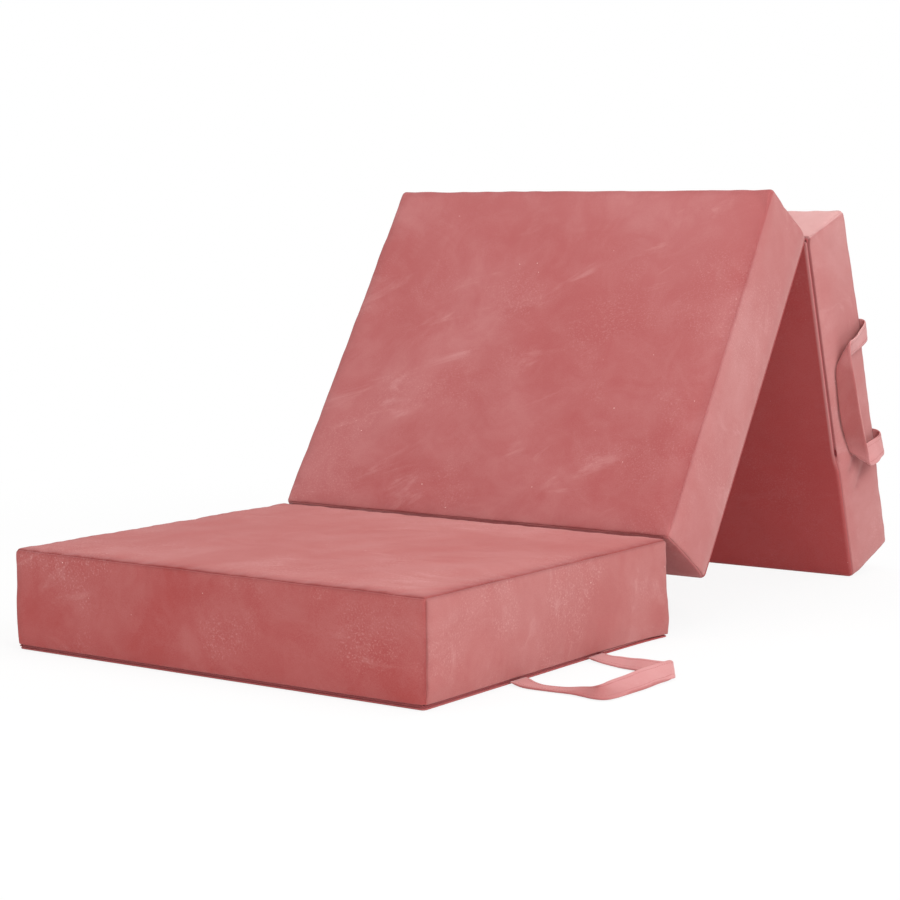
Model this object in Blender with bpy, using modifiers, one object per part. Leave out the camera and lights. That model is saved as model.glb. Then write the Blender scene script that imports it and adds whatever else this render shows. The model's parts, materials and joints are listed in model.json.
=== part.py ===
"""Folding sofa bed: three foam panels in a velvet cover, joined by two cloth folds.

World frame: X across the bed, Y backwards, Z up, with the origin under the middle of the seat. The seat
lies on the floor, the back panel leans from its rear top edge, and the rear panel props the back.
Every panel is modelled in its own frame: x across, y along the panel, z from its base to its top.
"""

import math

import bmesh
import bpy
import numpy as np
from mathutils import Matrix, Vector

MM = 0.001

# Panels
PANEL_WIDTH = 740 * MM
PANEL_PITCH = 635 * MM
PANEL_THICKNESS = 150 * MM
EDGE_RADIUS = 9 * MM
ROLL_ANGLE = math.radians(37)
SEAM_ANGLE = math.radians(45)
CROWN = 3 * MM
SIDE_DRAW = 1.5 * MM
RECLINE = math.radians(57.05)

# Cover
COVER_CLOTH = 2 * MM
BASE_LIP = 3 * MM
ZIP_BAND_HEIGHT = 6 * MM
ZIP_BAND_INSET = 3 * MM
ZIP_BAND_CLOTH = 1.6 * MM
SEAM_GAP = 0.3 * MM
FOLD_CLEARANCE = 0.5 * MM

# Foam
FOAM_GAP = 0.8 * MM
COMFORT_FOAM = 35 * MM
FOAM_RADIUS = 8 * MM

# Zips
SEAT_ZIP_END = 447 * MM
REAR_ZIP_END = 400 * MM
BACK_ZIP_END = 430 * MM
ZIP_CORNER_LENGTH = 20 * MM
SLIDER_LENGTH = 10 * MM
SLIDER_HEIGHT = 4.6 * MM
SLIDER_DEPTH = 1.5 * MM
PULL_LENGTH = 13 * MM
PULL_HEIGHT = 2.6 * MM
PULL_CLOTH = 0.9 * MM
METAL_ROUNDING_SHARE = 0.25

# Fold webs
WEB_CLOTH = 0.9 * MM
WEB_FOLD_RADIUS = 0.62 * MM
REAR_WEB_TRIM = 5 * MM

# Strap handles
STRAP_WIDTH = 36 * MM
STRAP_CLOTH = 2.4 * MM
STRAP_END_THICKNESS_SHARE = 0.5
STRAP_STEPS = 44
STRAP_SEAM_GAP = 0.75 * MM
SEAT_STRAP_START = 223 * MM
SEAT_STRAP_SPAN = 204 * MM
SEAT_STRAP_REACH = 160 * MM
SEAT_STRAP_RISE = 2.7 * MM
SEAT_STRAP_CORNER = 28 * MM
SEAT_STRAP_SKEWS = (36 * MM, 56 * MM)
SEAT_STRAP_SINK = 53 * MM
SEAT_STRAP_LEAN = math.radians(68)
SEAT_STRAP_TURN_SHARES = (0.06, 0.28)
REAR_STRAP_START = 228 * MM
REAR_STRAP_SPAN = 222 * MM
REAR_STRAP_REACH = 111 * MM
REAR_STRAP_LOOP = 8 * MM
REAR_STRAP_STANDOFF = 6.5 * MM
REAR_STRAP_CORNER = 30 * MM
REAR_STRAP_LEAN = math.radians(56)
REAR_STRAP_TURN_SHARES = (0.12, 0.22)

HALF_WIDTH = PANEL_WIDTH / 2
LENGTH = PANEL_PITCH - 2 * FOLD_CLEARANCE
SKIN = COVER_CLOTH + FOAM_GAP
SWELL_DEPTH = SKIN + COMFORT_FOAM
BAND_BASE = BASE_LIP + ZIP_BAND_HEIGHT + 2 * SEAM_GAP
ROLL_SHARES = (math.tan(ROLL_ANGLE), math.tan(SEAM_ANGLE - SEAM_GAP / EDGE_RADIUS))
FLAT_CUTS = 4
UPRIGHT_CUT_COUNT = 2
FOAM_CUTS = 3
CORNER_STEPS = 4

VELVET = (0.45, 0.115, 0.12)
VELVET_SHADE = (0.33, 0.07, 0.075)
STRAP_COLOUR = (0.55, 0.19, 0.19)
FOAM_COLOUR = (0.86, 0.84, 0.78)
COMFORT_COLOUR = (0.72, 0.80, 0.86)
ZIP_COLOUR = (0.28, 0.055, 0.06)
METAL_COLOUR = (0.62, 0.33, 0.32)


def clear_scene():
    for item in list(bpy.data.objects):
        bpy.data.objects.remove(item)


def material(name, colour, roughness, metallic=0.0):
    made = bpy.data.materials.new(name)
    made.use_nodes = True
    shader = made.node_tree.nodes["Principled BSDF"]
    shader.inputs["Base Color"].default_value = (*colour, 1)
    shader.inputs["Roughness"].default_value = roughness
    shader.inputs["Metallic"].default_value = metallic
    return made


def empty_at(name, place, turn, parent=None):
    """An empty whose local y runs along a panel; turn is about X."""
    made = bpy.data.objects.new(name, None)
    PARTS.objects.link(made)
    made.parent = parent
    made.location = place
    made.rotation_euler = (turn, 0, 0)
    return made


def add_piece(name, mesh, parent, finish, origin=(0, 0, 0)):
    """Links a mesh given in the parent's frame, with its origin moved to the given point."""
    mesh.transform(Matrix.Translation(-Vector(origin)))
    piece = bpy.data.objects.new(name, mesh)
    piece.parent = parent
    piece.location = origin
    piece.data.materials.append(finish)
    PARTS.objects.link(piece)
    return piece


def soften(point, datum):
    """Moves a point of the plain panel to the stuffed one: the top swells, the four sides draw in."""
    across = point[0] / HALF_WIDTH
    along = 2 * point[1] / PANEL_PITCH - 1
    upright = 2 * point[2] / PANEL_THICKNESS - 1
    height = max(0, 1 - (PANEL_THICKNESS - point[2]) / SWELL_DEPTH)
    swell = CROWN * max(0, 1 - across**2) * max(0, 1 - along**2) * height
    draw = SIDE_DRAW * max(0, 1 - upright**2)
    x = point[0] - across * draw * max(0, 1 - along**2)
    y = point[1] - along * draw * max(0, 1 - across**2)
    return Vector((x, y + datum[0], point[2] + swell + datum[1]))


def grid_mesh(name, columns, rows, place):
    """An open sheet of columns by rows points, each put where place(column, row) says."""
    work = bmesh.new()
    bmesh.ops.create_grid(work, x_segments=columns - 1, y_segments=rows - 1, size=1)
    for vert in work.verts:
        column = round((vert.co.x + 1) / 2 * (columns - 1))
        row = round((vert.co.y + 1) / 2 * (rows - 1))
        vert.co = place(column, row)
    mesh = bpy.data.meshes.new(name)
    work.to_mesh(mesh)
    work.free()
    mesh.shade_smooth()
    return mesh


def thicken(piece, thickness, offset):
    solid = piece.modifiers.new("Cloth", "SOLIDIFY")
    solid.thickness = thickness
    solid.offset = offset
    solid.use_even_offset = True
    return piece


def rolled_stops(low, high, cuts, roll_low=True, roll_high=True):
    """Stops across a sheet as (place, slope): flat ones between low and high, rolled ones at its ends."""
    stops = [(low + (high - low) * i / cuts, 0.0) for i in range(cuts + 1)]
    if roll_low:
        stops = [(low, -share) for share in reversed(ROLL_SHARES)] + stops
    if roll_high:
        stops = stops + [(high, share) for share in ROLL_SHARES]
    return stops


def cover_sheet(name, outward, right, upward, stops_right, stops_up, depth, parent, datum, finish):
    """A cover sheet of one face. Rolled stops lie on the rounded edge, as far as the seam."""
    outward, right, upward = Vector(outward), Vector(right), Vector(upward)

    def place(column, row):
        place_right, slope_right = stops_right[column]
        place_up, slope_up = stops_up[row]
        core = right * place_right + upward * place_up + outward * (depth - EDGE_RADIUS)
        lean = (outward + right * slope_right + upward * slope_up).normalized()
        return soften(core + lean * EDGE_RADIUS + Vector((0, PANEL_PITCH / 2, 0)), datum)

    mesh = grid_mesh(name, len(stops_right), len(stops_up), place)
    return thicken(add_piece(name, mesh, parent, finish), COVER_CLOTH, -1)


def block(name, low, high, cuts, radius, parent, datum, finish):
    """A foam block between two corners, softened as the panel is, with its edges rounded."""
    work = bmesh.new()
    bmesh.ops.create_cube(work, size=1)
    bmesh.ops.subdivide_edges(work, edges=work.edges, cuts=cuts, use_grid_fill=True)
    low, high = np.array(low), np.array(high)
    for vert in work.verts:
        shares = np.array(vert.co) + 0.5
        vert.co = soften(Vector(low + (high - low) * shares), datum)
    mesh = bpy.data.meshes.new(name)
    work.to_mesh(mesh)
    work.free()
    mesh.shade_smooth()
    piece = add_piece(name, mesh, parent, finish)
    rounding = piece.modifiers.new("Rounding", "BEVEL")
    rounding.width = radius
    rounding.segments = 2
    rounding.limit_method = "ANGLE"
    return piece


def plain_box(name, low, high, parent, finish, origin, rounding):
    """A small box between two corners, in the parent's frame."""
    work = bmesh.new()
    bmesh.ops.create_cube(work, size=1)
    low, high = np.array(low), np.array(high)
    for vert in work.verts:
        vert.co = Vector(low + (high - low) * (np.array(vert.co) + 0.5))
    mesh = bpy.data.meshes.new(name)
    work.to_mesh(mesh)
    work.free()
    piece = add_piece(name, mesh, parent, finish, origin)
    bevel = piece.modifiers.new("Rounding", "BEVEL")
    bevel.width = rounding
    bevel.segments = 2
    return piece


def rounded_rectangle(half_x, low, high, radius):
    """The corners' points of a plan outline, anticlockwise, from the low end's left to the same point."""
    path = [(radius - half_x, low)]
    corners = ((half_x, low), (half_x, high), (-half_x, high), (-half_x, low))
    quarter_turn = math.pi / 2
    for number, (corner_x, corner_y) in enumerate(corners):
        centre_x = corner_x - math.copysign(radius, corner_x)
        centre_y = corner_y - math.copysign(radius, corner_y - (low + high) / 2)
        for step in range(CORNER_STEPS + 1):
            angle = quarter_turn * (number - 1 + step / CORNER_STEPS)
            path.append((centre_x + radius * math.cos(angle), centre_y + radius * math.sin(angle)))
    return path


def from_end(y, flip):
    """A place along the panel, counted from its low end for a flip of 1 and from its high end for -1."""
    return y if flip > 0 else PANEL_PITCH - y


def band_outline():
    low, high = FOLD_CLEARANCE + ZIP_BAND_INSET, PANEL_PITCH - FOLD_CLEARANCE - ZIP_BAND_INSET
    return rounded_rectangle(HALF_WIDTH - ZIP_BAND_INSET, low, high, EDGE_RADIUS - ZIP_BAND_INSET)


def lengths_along(path):
    steps = [math.dist(start, end) for start, end in zip(path, path[1:])]
    return np.concatenate(([0], np.cumsum(steps)))


def band_strip(name, start, end, flips, parent, datum, finish):
    """An upright strip of the base band, between two lengths along its outline. flips are 1 or -1 for x and y."""
    path = np.array(band_outline())
    along = lengths_along(band_outline())
    stops = [start] + [stop for stop in along if start + SEAM_GAP < stop < end - SEAM_GAP] + [end]
    levels = (BASE_LIP + SEAM_GAP, BASE_LIP + SEAM_GAP + ZIP_BAND_HEIGHT)

    def place(column, row):
        x, y = (np.interp(stops[column], along, path[:, axis]) for axis in (0, 1))
        return soften((flips[0] * x, from_end(y, flips[1]), levels[row]), datum)

    mesh = grid_mesh(name, len(stops), 2, place)
    if flips[0] != flips[1]:
        mesh.flip_normals()
    return thicken(add_piece(name, mesh, parent, finish), ZIP_BAND_CLOTH, -1)


def base_sheet(name, trims, parent, datum, finish):
    """The cover's base: a flat plate with rounded corners, trimmed at its ends where a web lies."""
    low, high = FOLD_CLEARANCE + trims[0], PANEL_PITCH - FOLD_CLEARANCE - trims[1]
    work = bmesh.new()
    points = rounded_rectangle(HALF_WIDTH, low, high, EDGE_RADIUS)[1:]
    work.faces.new([work.verts.new((*point, 0)) for point in points])
    mesh = bpy.data.meshes.new(name)
    work.to_mesh(mesh)
    work.free()
    mesh.transform(Matrix.Translation((0, datum[0], datum[1])))
    return thicken(add_piece(name, mesh, parent, finish), BASE_LIP, 1)


def panel(prefix, parent, datum, flips, zip_end, zip_round_end, base_trims):
    """All the pieces of one panel. flips of 1, 1 put the zip on the right side, starting at the low end."""
    half_length = LENGTH / 2
    core_x = HALF_WIDTH - EDGE_RADIUS
    core_y = half_length - EDGE_RADIUS
    core_z = PANEL_THICKNESS - EDGE_RADIUS
    across = rolled_stops(-core_x, core_x, FLAT_CUTS)
    along = rolled_stops(-core_y, core_y, FLAT_CUTS)
    upright = rolled_stops(BAND_BASE, core_z, UPRIGHT_CUT_COUNT, roll_low=False)
    x, y, z = (1, 0, 0), (0, 1, 0), (0, 0, 1)
    back_x, back_y = (-1, 0, 0), (0, -1, 0)
    shared = (parent, datum, velvet)
    cover_sheet(prefix + "_top_sheet", z, x, y, across, along, PANEL_THICKNESS, *shared)
    cover_sheet(prefix + "_low_end_band", back_y, x, z, across, upright, half_length, *shared)
    cover_sheet(prefix + "_high_end_band", y, back_x, z, across, upright, half_length, *shared)
    cover_sheet(prefix + "_right_band", x, y, z, along, upright, HALF_WIDTH, *shared)
    cover_sheet(prefix + "_left_band", back_x, back_y, z, along, upright, HALF_WIDTH, *shared)
    base_sheet(prefix + "_base_sheet", base_trims, parent, datum, velvet_shade)

    low_x, low_y = HALF_WIDTH - SKIN, FOLD_CLEARANCE + SKIN
    split = PANEL_THICKNESS - SWELL_DEPTH
    block(
        prefix + "_comfort_foam",
        (-low_x, low_y, split),
        (low_x, PANEL_PITCH - low_y, PANEL_THICKNESS - SKIN),
        FOAM_CUTS,
        FOAM_RADIUS,
        parent,
        datum,
        comfort_foam,
    )
    inner = ZIP_BAND_INSET + ZIP_BAND_CLOTH + FOAM_GAP - SKIN
    block(
        prefix + "_support_foam",
        (-low_x + inner, low_y + inner, BASE_LIP + SEAM_GAP),
        (low_x - inner, PANEL_PITCH - low_y - inner, split - SEAM_GAP),
        FOAM_CUTS,
        FOAM_RADIUS,
        parent,
        datum,
        support_foam,
    )

    along_band = lengths_along(band_outline())
    corner_end = CORNER_STEPS + 1
    side_start = band_outline()[corner_end][1]
    zip_stop = along_band[corner_end] + zip_end - side_start
    zip_start = 0 if zip_round_end else along_band[1] - ZIP_CORNER_LENGTH
    spans = (
        ("_zip_tape", zip_start, zip_stop, zip_cloth),
        ("_base_seam", zip_stop + SEAM_GAP, along_band[-1] - SEAM_GAP, velvet_shade),
    )
    for label, start, end, finish in spans:
        band_strip(prefix + label, start, end, flips, parent, datum, finish)
    zip_slider(prefix, parent, datum, flips, zip_end)


def zip_slider(prefix, parent, datum, flips, zip_end):
    """The slider over the zip's end, and the pull that swings on it."""
    face = HALF_WIDTH - ZIP_BAND_INSET + SEAM_GAP
    pull_face = face + SLIDER_DEPTH + SEAM_GAP
    middle = BASE_LIP + SEAM_GAP + ZIP_BAND_HEIGHT / 2 + datum[1]
    start = zip_end - SLIDER_LENGTH
    pieces = (
        ("_zip_slider", face, SLIDER_DEPTH, SLIDER_LENGTH, SLIDER_HEIGHT, zip_end, face),
        ("_zip_pull", pull_face, PULL_CLOTH, PULL_LENGTH, PULL_HEIGHT, start, pull_face + PULL_CLOTH / 2),
    )
    for label, depth, cloth, length, height, pivot_y, pivot_x in pieces:
        across = sorted(flips[0] * x for x in (depth, depth + cloth))
        along = sorted(from_end(y, flips[1]) + datum[0] for y in (start, start + length))
        plain_box(
            prefix + label,
            (across[0], along[0], middle - height / 2),
            (across[1], along[1], middle + height / 2),
            parent,
            metal,
            (flips[0] * pivot_x, from_end(pivot_y, flips[1]) + datum[0], middle),
            cloth * METAL_ROUNDING_SHARE,
        )


def web_sheet(name, near, far, thickness, offset, parent, finish):
    """A flap of a fold's cloth web, as wide as the flat part of a panel, between two (y, z) lines."""
    half = HALF_WIDTH - EDGE_RADIUS
    lines = (near, far)

    def place(column, row):
        return Vector(((-half, half)[column], *lines[row]))

    mesh = grid_mesh(name, 2, 2, place)
    return thicken(add_piece(name, mesh, parent, finish), thickness, offset)


def front_web(name, parent, way_y):
    """The flap from the front fold's line down to the seam on a panel's rounded top edge."""
    seam = math.sqrt(2) * (FOLD_CLEARANCE + EDGE_RADIUS) - EDGE_RADIUS
    near, far = (share / math.sqrt(2) for share in (WEB_FOLD_RADIUS, seam - SEAM_GAP))
    return web_sheet(name, (way_y * near, -near), (way_y * far, -far), WEB_CLOTH, 0, parent, velvet_shade)


def rear_web(name, parent, way_y):
    """The flap from the rear fold's line to the trimmed edge of a panel's base sheet."""
    near, far = SEAM_GAP, FOLD_CLEARANCE + REAR_WEB_TRIM - SEAM_GAP
    level = SEAM_GAP + WEB_CLOTH / 2
    return web_sheet(name, (way_y * near, level), (way_y * far, level), WEB_CLOTH, 0, parent, velvet_shade)


def smooth_step(share):
    share = min(1, max(0, share))
    return share * share * (3 - 2 * share)


def strap_piece(name, centre_line, width_way, parent, finish, origin):
    """A strap: a ribbon about a centre line, whose width turns along it, thinned at its sewn ends."""
    def place(column, row):
        share = row / STRAP_STEPS
        side = (column - 1) * STRAP_WIDTH / 2
        return Vector(centre_line(share)) + Vector(width_way(share)).normalized() * side

    mesh = grid_mesh(name, 3, STRAP_STEPS + 1, place)
    ends = [vert.index for vert in mesh.vertices if min(vert.index, len(mesh.vertices) - 1 - vert.index) < 3]
    piece = thicken(add_piece(name, mesh, parent, finish, origin), STRAP_CLOTH, 0)
    full = piece.vertex_groups.new(name="full_thickness")
    full.add([vert.index for vert in mesh.vertices if vert.index not in ends], 1, "REPLACE")
    piece.modifiers["Cloth"].vertex_group = full.name
    piece.modifiers["Cloth"].thickness_vertex_group = STRAP_END_THICKNESS_SHARE
    return piece


def rounded_route(reach, span, corner, share):
    """A U-shaped route as (out, along): out by reach, along by span, and back, with rounded corners."""
    arc = corner * math.pi / 2
    legs = (reach - corner, arc, span - 2 * corner, arc, reach - corner)
    travel = share * sum(legs)
    if travel <= legs[0]:
        return travel, 0
    travel -= legs[0]
    if travel <= legs[1]:
        turn = travel / corner
        return reach - corner + corner * math.sin(turn), corner * (1 - math.cos(turn))
    travel -= legs[1]
    if travel <= legs[2]:
        return reach, corner + travel
    travel -= legs[2]
    if travel <= legs[3]:
        turn = travel / corner
        return reach - corner + corner * math.cos(turn), span - corner + corner * math.sin(turn)
    travel -= legs[3]
    return reach - corner - travel, span


def heading_of(plan, share):
    """The way a plan route runs at a share of its length, in radians from outward towards along."""
    step = 0.5 / STRAP_STEPS
    start, end = plan(max(0, share - step)), plan(min(1, share + step))
    return math.atan2(end[1] - start[1], end[0] - start[0])


def strap_roll(share, lean, turn_shares):
    """How far the strap has turned about its own length: nothing at its ends, lean in the middle."""
    ends = min(share, 1 - share)
    return lean * smooth_step((ends - turn_shares[0]) / turn_shares[1])


def seat_strap(parent):
    """Sewn flat into the base seam; its middle stands on its lower edge and leans outwards."""
    start = SEAT_STRAP_START - PANEL_PITCH
    sewn_x = HALF_WIDTH + STRAP_SEAM_GAP
    near_skew, far_skew = SEAT_STRAP_SKEWS

    def plan(share):
        out, along = rounded_route(SEAT_STRAP_REACH, SEAT_STRAP_SPAN, SEAT_STRAP_CORNER, share)
        skew = near_skew + (far_skew - near_skew) * along / SEAT_STRAP_SPAN
        return out, along - skew * out / SEAT_STRAP_REACH

    def roll(share):
        return strap_roll(share, SEAT_STRAP_LEAN, SEAT_STRAP_TURN_SHARES)

    def centre_line(share):
        out, along = plan(share)
        sink = smooth_step(out / SEAT_STRAP_SINK)
        low = SEAT_STRAP_RISE * (1 - sink) + STRAP_CLOTH / 2 * sink
        return sewn_x + out, start + along, low + STRAP_WIDTH / 2 * math.sin(roll(share))

    def width_way(share):
        heading = heading_of(plan, share)
        flat = Vector((math.sin(heading), -math.cos(heading), 0))
        if share in (0, 1):
            flat = Vector((0, -1 if share == 0 else 1, 0))
        return flat * math.cos(roll(share)) + Vector((0, 0, math.sin(roll(share))))

    origin = (sewn_x, start + SEAT_STRAP_SPAN / 2, SEAT_STRAP_RISE)
    return strap_piece("seat_strap_handle", centre_line, width_way, parent, strap_cloth, origin)


def rear_strap(parent):
    """Sewn into the seam of the rounded rear edge; it loops out, lies forward along the side,
    and its middle turns one edge towards the side."""
    seam_set_in = EDGE_RADIUS * (1 - math.cos(SEAM_ANGLE))
    sewn = STRAP_SEAM_GAP * math.sin(SEAM_ANGLE) - seam_set_in
    sewn_x, sewn_z = HALF_WIDTH + sewn, PANEL_THICKNESS + FOLD_CLEARANCE + sewn
    loop_length = REAR_STRAP_LOOP * (SEAM_ANGLE + math.pi / 2)

    def plan(share):
        return rounded_route(REAR_STRAP_REACH, REAR_STRAP_SPAN, REAR_STRAP_CORNER, share)

    def roll(share):
        return strap_roll(share, REAR_STRAP_LEAN, REAR_STRAP_TURN_SHARES)

    def leg(out):
        """The way out of the seam: round the loop, then straight along the side."""
        heading = SEAM_ANGLE - min(out, loop_length) / REAR_STRAP_LOOP
        x = REAR_STRAP_LOOP * (math.sin(SEAM_ANGLE) - math.sin(heading))
        z = REAR_STRAP_LOOP * (math.cos(heading) - math.cos(SEAM_ANGLE))
        return x, z - max(0, out - loop_length)

    def centre_line(share):
        out, along = plan(share)
        x, z = leg(out)
        standoff = REAR_STRAP_STANDOFF * smooth_step((out - loop_length) / (REAR_STRAP_REACH / 2))
        return sewn_x + x + standoff, REAR_STRAP_START + along, sewn_z + z

    def width_way(share):
        heading = heading_of(plan, share)
        flat = Vector((0, -math.cos(heading), -math.sin(heading)))
        return flat * math.cos(roll(share)) - Vector((math.sin(roll(share)), 0, 0))

    origin = (sewn_x, REAR_STRAP_START + REAR_STRAP_SPAN / 2, sewn_z)
    return strap_piece("rear_strap_handle", centre_line, width_way, parent, strap_cloth, origin)


clear_scene()
PARTS = bpy.data.collections.new("folding_sofa_bed")
bpy.context.scene.collection.children.link(PARTS)

velvet = material("velvet", VELVET, 0.85)
velvet_shade = material("velvet_base", VELVET_SHADE, 0.85)
strap_cloth = material("strap_velvet", STRAP_COLOUR, 0.8)
support_foam = material("support_foam", FOAM_COLOUR, 0.95)
comfort_foam = material("comfort_foam", COMFORT_COLOUR, 0.95)
zip_cloth = material("zip_tape", ZIP_COLOUR, 0.6)
metal = material("zip_metal", METAL_COLOUR, 0.35, 1.0)

front_fold_z = PANEL_THICKNESS + FOLD_CLEARANCE
fold_depth = PANEL_THICKNESS + 2 * FOLD_CLEARANCE
rear_fold_y = PANEL_PITCH * math.cos(RECLINE) + fold_depth * math.sin(RECLINE)
rear_fold_z = front_fold_z + PANEL_PITCH * math.sin(RECLINE) - fold_depth * math.cos(RECLINE)


def prop_angle():
    """The rear panel's slope, at which the corner of its base sheet just meets the floor."""
    reach = PANEL_PITCH - FOLD_CLEARANCE
    slack = math.atan2(FOLD_CLEARANCE, reach)
    return math.asin(rear_fold_z / math.hypot(reach, FOLD_CLEARANCE)) + slack


seat = empty_at("seat_datum", (0, PANEL_PITCH / 2, 0), 0)
back = empty_at("front_fold_axis", (0, 0, front_fold_z), RECLINE, seat)
rear = empty_at("rear_fold_axis", (0, PANEL_PITCH, -fold_depth), -prop_angle() - RECLINE, back)

panel("seat", seat, (-PANEL_PITCH, 0), (1, 1), SEAT_ZIP_END, True, (0, 0))
panel("back", back, (0, -PANEL_THICKNESS - FOLD_CLEARANCE), (-1, -1), BACK_ZIP_END, False, (0, REAR_WEB_TRIM))
panel("rear", rear, (0, FOLD_CLEARANCE), (1, 1), REAR_ZIP_END, False, (REAR_WEB_TRIM, 0))

seat_fold = empty_at("front_fold_seat_side", (0, 0, front_fold_z), 0, seat)
front_web("front_web_seat_flap", seat_fold, -1)
front_web("front_web_back_flap", back, 1)
back_fold = empty_at("rear_fold_back_side", (0, PANEL_PITCH, -fold_depth), 0, back)
rear_web("rear_web_back_flap", back_fold, -1)
rear_web("rear_web_rear_flap", rear, 1)

seat_strap(seat)
rear_strap(rear)
bpy.context.view_layer.update()
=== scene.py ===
"""Looks of the folding sofa bed: three velvet foam panels, their zips, fold webs and strap handles.

Every panel is worked out in its own frame (x across, y along the panel, z from its base to its top) and
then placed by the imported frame's fold axes. Lengths are in metres, angles in radians unless they say so.
"""

import json
import math

import bmesh
import bpy
import numpy as np
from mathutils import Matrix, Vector

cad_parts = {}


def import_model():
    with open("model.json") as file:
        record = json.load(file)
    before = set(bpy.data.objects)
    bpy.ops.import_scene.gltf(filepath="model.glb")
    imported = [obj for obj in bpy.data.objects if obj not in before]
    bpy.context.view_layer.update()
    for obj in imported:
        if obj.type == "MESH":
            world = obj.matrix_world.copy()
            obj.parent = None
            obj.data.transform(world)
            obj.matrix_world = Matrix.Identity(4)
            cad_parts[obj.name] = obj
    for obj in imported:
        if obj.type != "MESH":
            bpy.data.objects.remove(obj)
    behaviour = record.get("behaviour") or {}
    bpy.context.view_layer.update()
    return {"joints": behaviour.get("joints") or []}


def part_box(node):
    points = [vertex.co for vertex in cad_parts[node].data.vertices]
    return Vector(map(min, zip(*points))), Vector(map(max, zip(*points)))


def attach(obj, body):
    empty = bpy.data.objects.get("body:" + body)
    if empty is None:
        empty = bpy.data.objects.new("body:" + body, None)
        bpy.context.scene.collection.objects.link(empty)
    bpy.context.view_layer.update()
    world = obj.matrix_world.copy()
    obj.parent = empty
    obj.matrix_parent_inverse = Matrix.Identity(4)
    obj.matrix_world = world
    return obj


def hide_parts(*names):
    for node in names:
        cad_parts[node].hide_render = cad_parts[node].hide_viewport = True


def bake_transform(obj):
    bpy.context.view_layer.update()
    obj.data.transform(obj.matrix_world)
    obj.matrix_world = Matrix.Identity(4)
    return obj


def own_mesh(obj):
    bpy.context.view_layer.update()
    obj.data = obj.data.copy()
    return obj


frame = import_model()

MM = 0.001
UP = np.array([0.0, 0.0, 1.0])

# Panels, as the solids have them
PANEL_PITCH = 635 * MM
PANEL_THICKNESS = 150 * MM
EDGE_RADIUS = 8 * MM
ROLL_DEPTH = EDGE_RADIUS * (1 - math.cos(math.pi / 4))
FOLD_CLEARANCE = 0.5 * MM
BASE_LIP = 4.4 * MM
BASE_INSET = 2.5 * MM
REAR_BASE_INSET = 0.8 * MM
WEB_TRIM = 5 * MM
BAND_FOOT = 7.0 * MM
ZIP_INSET = 4 * MM
HALF_WIDTH = (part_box("seat_base_sheet")[1].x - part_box("seat_base_sheet")[0].x) / 2

# Where each zip ends along its panel, and how far it turns the corner
ZIP_ENDS = {"seat": 447 * MM, "back": 430 * MM, "rear": 400 * MM}
ZIP_CORNER = 20 * MM

# The pads' grid, and how far they stand proud of the solids
PAD_STEP = 10 * MM
ROLL_DEGREES = (14, 26, 35, 41, 45)
FOOT_RADIUS = 2.5 * MM
TOP_EASE = 1.5 * MM
SIDE_EASE = 3 * MM
REAR_END_EASE = 2 * MM

# Crown of the top, draw of the sides, more so at the ends beside a fold, and tuck towards the base seam
CROWN = 1 * MM
SIDE_DRAW = 0.8 * MM
FOLD_DRAW = 4 * MM
FOLD_ENDS = {"seat": (1,), "back": (-1, 1), "rear": (-1,)}
TUCK = 3.2 * MM
TUCK_REACH = 26 * MM
TUCK_POWER = 6

# Sewn grooves, the pillowed cloth beside them, the reach of its pressed pile and painted shade, and
# puckers, sway and wander of the cloth
SEAM_DEPTH = 1.2 * MM
SEAM_WIDTH = 1.0 * MM
PRESSED_REACH = 8 * MM
PILLOW = 0.8 * MM
PILLOW_REACH = 11 * MM
PUCKER = 0.35 * MM
PUCKER_REACH = 14 * MM
PUCKER_WAVE = 34 * MM
SWAY = 0.5 * MM
SWAY_WAVE = 190 * MM
WANDER = 0.4 * MM
WANDER_WAVE = 110 * MM

# The seat's rear corners are let out at the foot
LET_OUT = 9 * MM
LET_OUT_DROP = 3.5 * MM
LET_OUT_REACH = 55 * MM
LET_OUT_HEIGHT = 0.75 * PANEL_THICKNESS

# The right sides taper towards the rear fold: (how far, slope and start along, slope and start upwards)
TAPERS = {"back": (3.5 * MM, 2, -1, 1, 0.6), "rear": (5 * MM, -1.6, -0.6, 0.5, 0.5)}

# Beside the rear zip: the pad's foot is lifted, the base sheet's lip curls away, and the side is drawn in
GROOVE_LIFT = 2.6 * MM
LIP_CURL = 0.9 * MM
ZIP_DRAW = 4.5 * MM
ZIP_DRAW_REACH = 60 * MM

# V-shaped creases in the cloth below the rear strap, in millimetres along the panel and over its base:
# (tip, mouth, half width at the mouth)
CREASES = (((448, 20), (428, 66), 11), ((486, 40), (457, 108), 15))
CREASE_DEPTH = 4 * MM
CREASE_SHADE = 0.5

# How much the base sheets' painted rim highlight fades beyond the rear zip's end
RIM_FADE = 0.75

# How strongly each panel's seams show, and the pressed pile and painted shade of the cloth beside them:
# (seam, beside it)
SEAM_SHARES = {"seat": (0.85, 0.8), "back": (0.5, 0.35), "rear": (0.7, 0.5)}

# Where hands brushed the back's front: (across, along the panel, reach across, reach along, strength)
BRUSHED = ((0.24, 0.53, 0.13, 0.10, 0.9), (0.05, 0.60, 0.40, 0.05, 0.6), (-0.16, 0.42, 0.10, 0.08, 0.5))

# Cloth simulation of the pads; a shrink below 0 lets the cloth grow
CLOTH = {"quality": 5, "mass": 0.3, "tension_stiffness": 15, "compression_stiffness": 15,
         "shear_stiffness": 5, "bending_stiffness": 0.6, "use_pressure": True,
         "uniform_pressure_force": 4.0, "shrink_min": -0.006}
CLOTH_FRAMES = 20
CLOTH_CAP = 2.0 * MM
SEAM_HOLD = 0.6 * EDGE_RADIUS

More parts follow.
